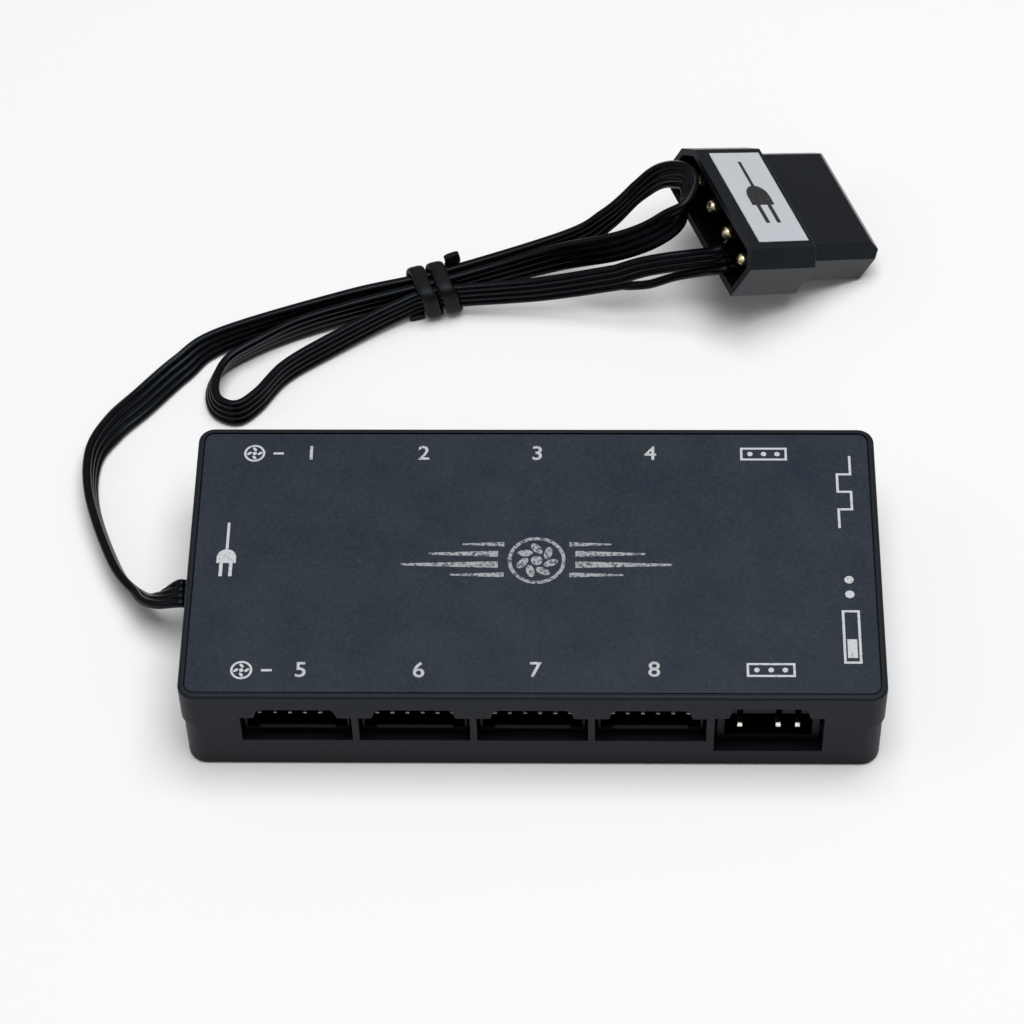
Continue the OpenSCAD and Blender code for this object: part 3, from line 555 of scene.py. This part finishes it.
def moulded_plastic(
    name, colour, roughness, grain=0.004, grain_scale=5200, soft_edge=0.12,
    specular=0.5, shade_reach=PAINTED_SHADE_REACH,
):
    finish = Finish(name, {"Specular IOR Level": specular, "Specular Tint": BLUE_SHEEN})
    drift = finish.noise(60, 3)
    fine = finish.noise(grain_scale, 2)
    mottle = finish.noise(1100, 3)
    # Painted shade: where the AO node finds a hollow, the base colour is mixed toward near
    # black.
    painted_shade_ao = finish.node(
        "ShaderNodeAmbientOcclusion", {"samples": 8, "only_local": shade_reach > PAINTED_SHADE_REACH},
        {"Distance": shade_reach},
    )
    unshaded_share = finish.ramp(finish.number(painted_shade_ao, "AO"), 0.6, 0.97)
    lighter = tuple(min(1.0, 1.35 * c + 0.001) for c in colour)
    shades = finish.mix(0.6 * drift + 0.8 * (mottle - 0.3), colour, lighter)
    finish.fill(finish.shader, {
        "Base Color": finish.mix(unshaded_share, PAINTED_SHADE_BLACK, shades),
        "Roughness": roughness + 0.1 * (drift - 0.5) + 0.06 * (fine - 0.5),
    })
    finish.bump(fine, grain * MM, soft_edge * MM)
    return finish.material


case_plastic = moulded_plastic("case_plastic", (0.0052, 0.0065, 0.009), 0.5, specular=0.17)
# The headers sit deep in the openings: their near-black colour is the plastic's own black,
# darkened further as painted shade.
header_plastic_and_painted_shade = moulded_plastic(
    "header_plastic_and_painted_shade", (0.0006, 0.0006, 0.0008), 0.36, 0.002, 3000, 0.08, 0.12
)
knob_plastic = moulded_plastic("knob_plastic", (0.006, 0.006, 0.0065), 0.4, 0.003)
# The connector's mouth gets its painted shade from further in, and from the housing alone.
connector_plastic = moulded_plastic(
    "connector_plastic", (0.0022, 0.003, 0.0043), 0.3, 0.003, 2600, 0.16, 0.3, MOUTH_PAINTED_SHADE_REACH
)
chip_plastic = moulded_plastic("chip_plastic", (0.012, 0.012, 0.013), 0.55, 0.004)
grommet_rubber = moulded_plastic("grommet_rubber", (0.006, 0.006, 0.006), 0.6, 0.006, 2500)

# %% [markdown]
# ## The label's film
# The label is a printed film with a fine leather grain. In plain light it is a dark
# blue grey with small lighter and darker flecks. The grain is a bump from noise, and
# the flecks are the few places where another noise is high.


# %% Label film
def label_film():
    finish = Finish("label_film", {"Specular IOR Level": 0.28, "Specular Tint": BLUE_SHEEN})
    places = finish.places()
    cloud = finish.noise(120, 4, places)
    grain = finish.noise(2300, 3, places, 0.65)
    fleck = finish.ramp(finish.noise(1300, 2, places), 0.66, 0.74)
    spread = finish.ramp(0.4 * cloud + 0.6 * grain, 0.36, 0.64)
    ground = finish.mix(spread, (0.002, 0.0055, 0.0125), (0.017, 0.0215, 0.0305))
    finish.fill(finish.shader, {
        "Base Color": finish.mix(0.5 * fleck, ground, (0.03, 0.036, 0.048)),
        "Roughness": 0.5 + 0.12 * (grain - 0.5),
    })
    finish.bump(grain, 0.012 * MM)
    return finish.material


label_material = label_film()


# %% [markdown]
# ## Printed ink
# The ink is off-white and thin, so the film's grain shows through it as small gaps.
# The large pictogram is printed in a silver grey, and there the gaps are plainer.


# %% Ink
def printed_ink(name, colour, gap_colour, gap_from, gap_to):
    finish = Finish(name, {"Specular IOR Level": 0.3})
    places = finish.places()
    gaps = finish.ramp(finish.noise(2300, 3, places, 0.65), gap_from, gap_to)
    finish.fill(finish.shader, {
        "Base Color": finish.mix(gaps, gap_colour, colour),
        "Roughness": 0.5 + 0.1 * gaps,
    })
    return finish.material


white_ink = printed_ink("white_ink", (0.58, 0.6, 0.62), (0.3, 0.32, 0.34), 0.3, 0.45)
silver_ink = printed_ink("silver_ink", (0.36, 0.38, 0.4), (0.05, 0.055, 0.065), 0.4, 0.52)
black_ink = printed_ink("black_ink", (0.02, 0.02, 0.022), (0.06, 0.06, 0.065), 0.3, 0.4)


# %% [markdown]
# ## The cable's skin
# Soft vinyl is smooth and fairly shiny, with faint streaks from the nozzle that it
# came out of. The streaks follow the cable because they are read from its UV map,
# which runs along it, and not from where the cable happens to lie.


# %% Vinyl
def vinyl(name, colour, roughness, streak, specular):
    finish = Finish(name, {"Specular IOR Level": specular, "Specular Tint": BLUE_SHEEN})
    uv = finish.node("ShaderNodeTexCoord").outputs["UV"]
    mapped = finish.node("ShaderNodeMapping", {}, {"Vector": uv, "Scale": (40, 60, 1)})
    lines = finish.noise(1.0, 3, mapped.outputs["Vector"])
    dust = finish.noise(900, 3)
    lighter = tuple(1.8 * c + 0.001 for c in colour)
    finish.fill(finish.shader, {
        "Base Color": finish.mix(finish.ramp(dust, 0.45, 0.75), colour, lighter),
        "Roughness": roughness + 0.16 * (lines - 0.5) + 0.1 * (dust - 0.5),
    })
    finish.bump(lines, streak * MM)
    return finish.material


cable_vinyl = vinyl("cable_vinyl", (0.0009, 0.0012, 0.0017), 0.2, 0.004, 0.11)
tie_vinyl = vinyl("tie_vinyl", (0.004, 0.004, 0.0042), 0.42, 0.015, 0.12)


# %% [markdown]
# ## Metals
# Contacts are plated with a thin gold-coloured layer, and screws and the switch's
# shell are tinned steel. Metal shows little colour of its own in plain light, so its
# look is in the roughness, which drifts over each piece.


# %% Metals
def plated_metal(name, colour, roughness):
    finish = Finish(name, {"Metallic": 1.0})
    drift = finish.noise(700, 3)
    darker = tuple(0.7 * c for c in colour)
    finish.fill(finish.shader, {
        "Base Color": finish.mix(drift, darker, colour),
        "Roughness": roughness + 0.2 * (drift - 0.5),
    })
    finish.bump(drift, 0.004 * MM, 0.06 * MM)
    return finish.material


gold_plate = plated_metal("gold_plate", (0.9, 0.76, 0.5), 0.28)
tin_plate = plated_metal("tin_plate", (0.85, 0.82, 0.74), 0.25)
tinned_steel = plated_metal("tinned_steel", (0.62, 0.63, 0.65), 0.35)
can_aluminium = plated_metal("can_aluminium", (0.72, 0.73, 0.75), 0.4)


# %% [markdown]
# ## Board, paper and small parts
# The board's lacquer is nearly black and glossy, with tracks that stand up under it.
# The sticker is coated paper, and the small chip parts are matte ceramic.


# %% Board, paper and ceramic
def board_lacquer():
    finish = Finish("board_lacquer", {"Specular IOR Level": 0.5})
    tracks = finish.node("ShaderNodeTexBrick", {"offset": 0.5}, {
        "Vector": finish.places(), "Scale": 260, "Mortar Size": 0.06,
        "Color1": (0, 0, 0, 1), "Color2": (0.3, 0.3, 0.3, 1), "Mortar": (1, 1, 1, 1),
    })
    track = finish.number(tracks, "Fac")
    drift = finish.noise(90, 2)
    finish.fill(finish.shader, {
        "Base Color": finish.mix(track, (0.003, 0.004, 0.004), (0.007, 0.009, 0.008)),
        "Roughness": 0.3 + 0.15 * drift,
    })
    finish.bump(track, 0.02 * MM)
    return finish.material


def paper(name, colour, fibre_scale=1500):
    finish = Finish(name, {"Specular IOR Level": 0.3})
    fibre = finish.noise(fibre_scale, 4)
    darker = tuple(0.9 * c for c in colour)
    finish.fill(finish.shader, {
        "Base Color": finish.mix(fibre, darker, colour),
        "Roughness": 0.5 + 0.2 * fibre,
    })
    finish.bump(fibre, 0.006 * MM)
    return finish.material


board_material = board_lacquer()
sticker_paper = paper("sticker_paper", (0.58, 0.61, 0.65))
part_ceramic = paper("part_ceramic", (0.3, 0.24, 0.16), 2500)

# %% [markdown]
# ## Finishes for the CAD nodes
# A node whose shape is right keeps it and only gets its finish. The names before the
# numbers say which family a node belongs to.

# %% Dress the CAD nodes
NODE_FINISH = {
    "top_shell": case_plastic, "bottom_shell": case_plastic, "face_label": label_material,
    "circuit_board": board_material, "fan_header": header_plastic_and_painted_shade,
    "led_header": header_plastic_and_painted_shade, "fan_pins": tin_plate, "led_pins": tin_plate,
    "switch_body": tinned_steel, "switch_slider": knob_plastic,
    "switch_terminals": tinned_steel, "controller_chip": chip_plastic,
    "filter_capacitor": can_aluminium, "chip_parts": part_ceramic,
    "board_screws": tinned_steel, "cable_grommet": grommet_rubber,
    "cable_tail": grommet_rubber, "power_cable": cable_vinyl,
    "connector_wires": cable_vinyl, "cable_tie": tie_vinyl,
    "connector_housing": connector_plastic, "connector_terminals": gold_plate,
    "connector_sticker": sticker_paper,
}
for name, node in NODES.items():
    finish = NODE_FINISH[name.rstrip("_0123456789")]
    node.data.materials.clear()
    node.data.materials.append(finish)
PIECE_FINISH = [
    (flat_cable, cable_vinyl), (branches, cable_vinyl), (tie, tie_vinyl),
    (terminals, gold_plate),
]
for piece, finish in PIECE_FINISH:
    piece.data.materials.append(finish)
print("finishes given to", len(NODES), "nodes")

# %% [markdown]
# ## Drawing the print
# The print is drawn flat with a few operators: discs, rings and bars, and Blender's
# own font for the plain numbers. Everything is drawn in millimetres, then grown into
# a film two hundredths thick and laid on the label.


# %% Flat shapes
def disc(bm, x, y, radius, stretch=1.0, turn=0.0):
    place = Matrix.Translation((x, y, 0)) @ Matrix.Rotation(math.radians(turn), 4, "Z")
    bmesh.ops.create_circle(
        bm, cap_ends=True, segments=28, radius=radius,
        matrix=place @ Matrix.Diagonal((stretch, 1, 1, 1)),
    )


def half_disc(bm, radius):
    verts = bmesh.ops.create_circle(bm, cap_ends=True, segments=32, radius=radius)["verts"]
    faces = {face for vert in verts for face in vert.link_faces}
    edges = {edge for face in faces for edge in face.edges}
    bmesh.ops.bisect_plane(
        bm, geom=[*verts, *edges, *faces], plane_co=(0, 0, 0), plane_no=(0, 1, 0),
        clear_inner=True,
    )


def ring(bm, x, y, radius, line):
    edges = []
    for r in (radius, radius - line):
        verts = bmesh.ops.create_circle(
            bm, segments=40, radius=r, matrix=Matrix.Translation((x, y, 0))
        )["verts"]
        edges += {edge for vert in verts for edge in vert.link_edges}
    bmesh.ops.bridge_loops(bm, edges=edges)


def bar(bm, start, end, line, taper=1.0):
    start, end = Vector((*start, 0)), Vector((*end, 0))
    run = end - start
    verts = bmesh.ops.create_grid(bm, x_segments=1, y_segments=1, size=0.5)["verts"]
    for vert in verts:
        vert.co.y *= taper * line if vert.co.x > 0 else line
    turn = Matrix.Rotation(math.atan2(run.y, run.x), 4, "Z")
    place = Matrix.Translation((start + end) / 2) @ turn
    bmesh.ops.transform(
        bm, matrix=place @ Matrix.Diagonal((run.length, 1, 1, 1)), verts=verts
    )


def frame_of_bars(bm, x, y, width, height, line):
    for side in (-1, 1):
        level = y + side * (height - line) / 2
        bar(bm, (x - width / 2, level), (x + width / 2, level), line)
        post = x + side * (width - line) / 2
        bar(bm, (post, y - height / 2 + line), (post, y + height / 2 - line), line)


# %% Numbers
DIGIT_SHARE = 0.7
DIGIT_BOLD = 0.02


def number(bm, body, x, y, height):
    curve = bpy.data.curves.new("digit", "FONT")
    curve.body = body
    curve.size = height / DIGIT_SHARE
    curve.offset = DIGIT_BOLD * height
    curve.align_x = curve.align_y = "CENTER"
    digit = bpy.data.objects.new("digit", curve)
    mesh = bpy.data.meshes.new_from_object(digit)
    mesh.transform(Matrix.Translation((x, y, 0)))
    bm.from_mesh(mesh)
    bpy.data.objects.remove(digit)
    bpy.data.curves.remove(curve)
    bpy.data.meshes.remove(mesh)


# %% Grow the print and lay it on a surface
FILM_T = 0.02


def print_piece(bm, name, finish, place):
    bmesh.ops.solidify(bm, geom=bm.faces, thickness=FILM_T)
    bmesh.ops.transform(bm, matrix=place @ Matrix.Scale(MM, 4), verts=bm.verts)
    piece = piece_from(bm, name)
    piece.data.materials.append(finish)
    return piece


LABEL_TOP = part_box("face_label")[1].z
ON_LABEL = Matrix.Translation((0, 0, LABEL_TOP + FILM_T * MM))
print("height of the label in millimetres:", round(LABEL_TOP / MM, 2))

# %% [markdown]
# ## What the print says
# Each socket has its number, and plain pictograms say what is what: a fan before each
# row of fan numbers, a strip of lamps at the light sockets, a mains plug at the cable,
# and a slide switch with a square wave at the switch.

# %% Numbers of the fan sockets
DIGIT_H = 2.35
NUMBERS = {
    "1": (-30.8, 18.1), "2": (-15.3, 18.1), "3": (0.3, 18.1), "4": (15.8, 18.1),
    "5": (-30.4, -18.1), "6": (-14.9, -18.1), "7": (0.4, -18.0), "8": (16.0, -17.9),
}
bm = bmesh.new()
for body, (x, y) in NUMBERS.items():
    number(bm, body, x, y, DIGIT_H)
print_piece(bm, "socket_numbers", white_ink, ON_LABEL)


# %% Small pictograms
BLADE_LEAN = 38
STRIP_LINE = 0.32
DASH_LINE = 0.36


def fan_sign(bm, x, y, radius, line, blades):
    ring(bm, x, y, radius, line)
    disc(bm, x, y, 0.2 * radius)
    for k in range(blades):
        degrees = 360 / blades * k + 90
        a = math.radians(degrees)
        disc(bm, x + 0.5 * radius * math.cos(a), y + 0.5 * radius * math.sin(a),
             0.14 * radius, 1.9, degrees + BLADE_LEAN)


def lamp_strip_sign(bm, x, y, width, height):
    frame_of_bars(bm, x, y, width, height, STRIP_LINE)
    for k in (-1, 0, 1):
        disc(bm, x + k * width * 0.29, y, height * 0.17)


bm = bmesh.new()
for x, y in ((-38.6, 18.1), (-38.2, -18.1)):
    fan_sign(bm, x, y, 1.45, 0.3, 4)
    bar(bm, (x + 2.6, y), (x + 4.0, y), DASH_LINE)
for y in (18.1, -17.85):
    lamp_strip_sign(bm, 31.3, y, 6.4, 2.2)
print_piece(bm, "row_signs", white_ink, ON_LABEL)

# %% Plug sign by the cable
def plug_sign(bm, place, size, cord_l, prong_l):
    foot = -0.75 * size
    bar(bm, (0, size + cord_l), (0, 0.99 * size), 0.28 * size)
    half_disc(bm, size)
    bar(bm, (0, 0), (0, foot), 2 * size)
    for x in (-0.5 * size, 0.5 * size):
        bar(bm, (x, foot), (x, foot - prong_l), 0.36 * size)
    bmesh.ops.transform(bm, matrix=place, verts=bm.verts)


bm = bmesh.new()
plug_sign(bm, Matrix.Translation((-41.35, 0.35, 0)), 1.3, 4.5, 2.2)
print_piece(bm, "plug_sign", white_ink, ON_LABEL)

# %% Switch signs at the right end
SWITCH_X = 42.1
SWITCH_LINE = 0.34
WAVE_X = (41.2, 43.0)
WAVE_STEP = 3.0
half_line = SWITCH_LINE / 2
bm = bmesh.new()
frame_of_bars(bm, SWITCH_X, -12.5, 2.4, 8.6, SWITCH_LINE)
bar(bm, (SWITCH_X, -15.9), (SWITCH_X, -12.9), 1.3)
for y in (-5.6, -3.2):
    disc(bm, SWITCH_X, y, 0.62)
for k in range(4):
    x, y = WAVE_X[k % 2], 5.6 + WAVE_STEP * k
    top = y + WAVE_STEP
    bar(bm, (x, y - half_line), (x, top + half_line), SWITCH_LINE)
    if k < 3:
        bar(bm, (WAVE_X[0] + half_line, top), (WAVE_X[1] - half_line, top), SWITCH_LINE)
print_piece(bm, "switch_signs", white_ink, ON_LABEL)

# %% [markdown]
# ## The large pictogram
# The middle of the label carries a plain fan in silver, with streams of air on both
# sides, drawn as bars that taper away.

# %% Large fan sign
FAN_X = 0.4
AIR = (
    (2.6, 4.4, 10.0, 0.75), (1.0, 5.2, 14.6, 1.0), (-0.8, 5.2, 18.2, 1.1),
    (-2.5, 4.4, 11.6, 0.8),
)
bm = bmesh.new()
fan_sign(bm, FAN_X, -0.1, 3.9, 0.5, 7)
for side in (-1, 1):
    for y, near, far, line in AIR:
        bar(bm, (FAN_X + side * near, y), (FAN_X + side * far, y), line, 0.3)
print_piece(bm, "large_fan_sign", silver_ink, ON_LABEL)

# %% [markdown]
# ## The sticker's sign
# The white sticker on the connector tells one plug from another. Its sign is a plain
# mains plug, drawn across the sticker and laid on it by the connector's own matrix.

# %% Sticker sign
STICKER_MID = Vector((6.9, 0.2, 0.12)) * MM
ON_STICKER = CONNECTOR @ Matrix.Translation(STICKER_MID + Vector((0, 0, FILM_T * MM)))
bm = bmesh.new()
plug_sign(bm, Matrix.Identity(4), 2.1, 4.6, 3.4)
sticker_sign = print_piece(bm, "sticker_sign", black_ink, ON_STICKER)

# %% [markdown]
# ## The cable's length
# The cable is seen from end to end, so the length printed where it is made is the real one.

# %% [markdown]
# ## Floor, lamps and world
# The floor is plain and pale. One large soft lamp hangs overhead and a weak one stands
# at the left, and the world fills in from everywhere, so that an upward face is lit at
# about the level at which its colour renders as written. Only what the camera sees of
# the floor, directly or in a mirror, gets a faint glow that lifts it to near white.

# %% Floor
FLOOR_COLOUR = (0.93, 0.935, 0.94, 1)
FLOOR_GLOW = 0.04
FLOOR_Z = -0.05 * MM
WHITE = (1, 1, 1, 1)


def pale_floor():
    bm = bmesh.new()
    bmesh.ops.create_grid(bm, x_segments=1, y_segments=1, size=3.0)
    mesh = bpy.data.meshes.new("floor")
    bm.to_mesh(mesh)
    bm.free()
    floor = bpy.data.objects.new("floor", mesh)
    floor.location.z = FLOOR_Z
    bpy.context.scene.collection.objects.link(floor)
    finish = Finish("floor_paper", {"Roughness": 0.9, "Specular IOR Level": 0.1})
    finish.fill(finish.shader, {"Base Color": FLOOR_COLOUR})
    rays = finish.node("ShaderNodeLightPath")
    kinds = ("Is Camera Ray", "Is Glossy Ray", "Is Transmission Ray")
    seen = sum(finish.number(rays, kind) for kind in kinds)
    lit = {"Color": WHITE, "Strength": FLOOR_GLOW * seen}
    glow = finish.node("ShaderNodeEmission", {}, lit)
    parts = {0: finish.shader.outputs[0], 1: glow.outputs[0]}
    both = finish.node("ShaderNodeAddShader", {}, parts)
    output = finish.tree.nodes["Material Output"]
    finish.fill(output, {"Surface": both.outputs[0]})
    mesh.materials.append(finish.material)


pale_floor()


# %% Lamps
def soft_lamp(name, place, aim, size, radiance):
    data = bpy.data.lights.new(name, "AREA")
    data.shape = "RECTANGLE"
    data.size, data.size_y = size
    data.energy = radiance * math.pi * size[0] * size[1]
    lamp = bpy.data.objects.new(name, data)
    lamp.location = place
    way = Vector(aim) - Vector(place)
    lamp.rotation_euler = way.to_track_quat("-Z", "Y").to_euler()
    bpy.context.scene.collection.objects.link(lamp)
    print(name, "radiance", radiance)


soft_lamp("overhead_lamp", (0.1, -0.02, 1.0), (0.02, 0.0, 0), (0.8, 0.7), 5.4)
soft_lamp("left_lamp", (-1.1, -0.1, 0.75), (0, 0, 0), (0.7, 0.9), 0.5)

# %% [markdown]
# ## The world
# The camera sees a white world, the object is filled in by a weak one, and what
# mirrors the world finds it dark at the horizon and bright overhead, as in a studio
# whose light comes from above.

# %% World
MIRRORED_LOW = 0.08
MIRRORED_RISE = 0.85
FILL = 0.17
world = bpy.data.worlds.new("studio")
world.use_nodes = True
graph = Graph(world.node_tree)
rays = graph.node("ShaderNodeLightPath")
toward = graph.node("ShaderNodeTexCoord").outputs["Generated"]
upward = graph.number(graph.node("ShaderNodeSeparateXYZ", {}, {"Vector": toward}), "Z")
mirrored = MIRRORED_LOW + MIRRORED_RISE * graph.ramp(upward, 0, 1)
strength = (
    graph.number(rays, "Is Camera Ray")
    + graph.number(rays, "Is Glossy Ray") * mirrored
    + graph.number(rays, "Is Transmission Ray")
    + graph.number(rays, "Is Diffuse Ray") * FILL
)
background = world.node_tree.nodes["Background"]
graph.fill(background, {"Color": WHITE, "Strength": strength})
bpy.context.scene.world = world
bpy.context.scene.view_settings.view_transform = "Standard"
print("nodes of the world:", len(world.node_tree.nodes))
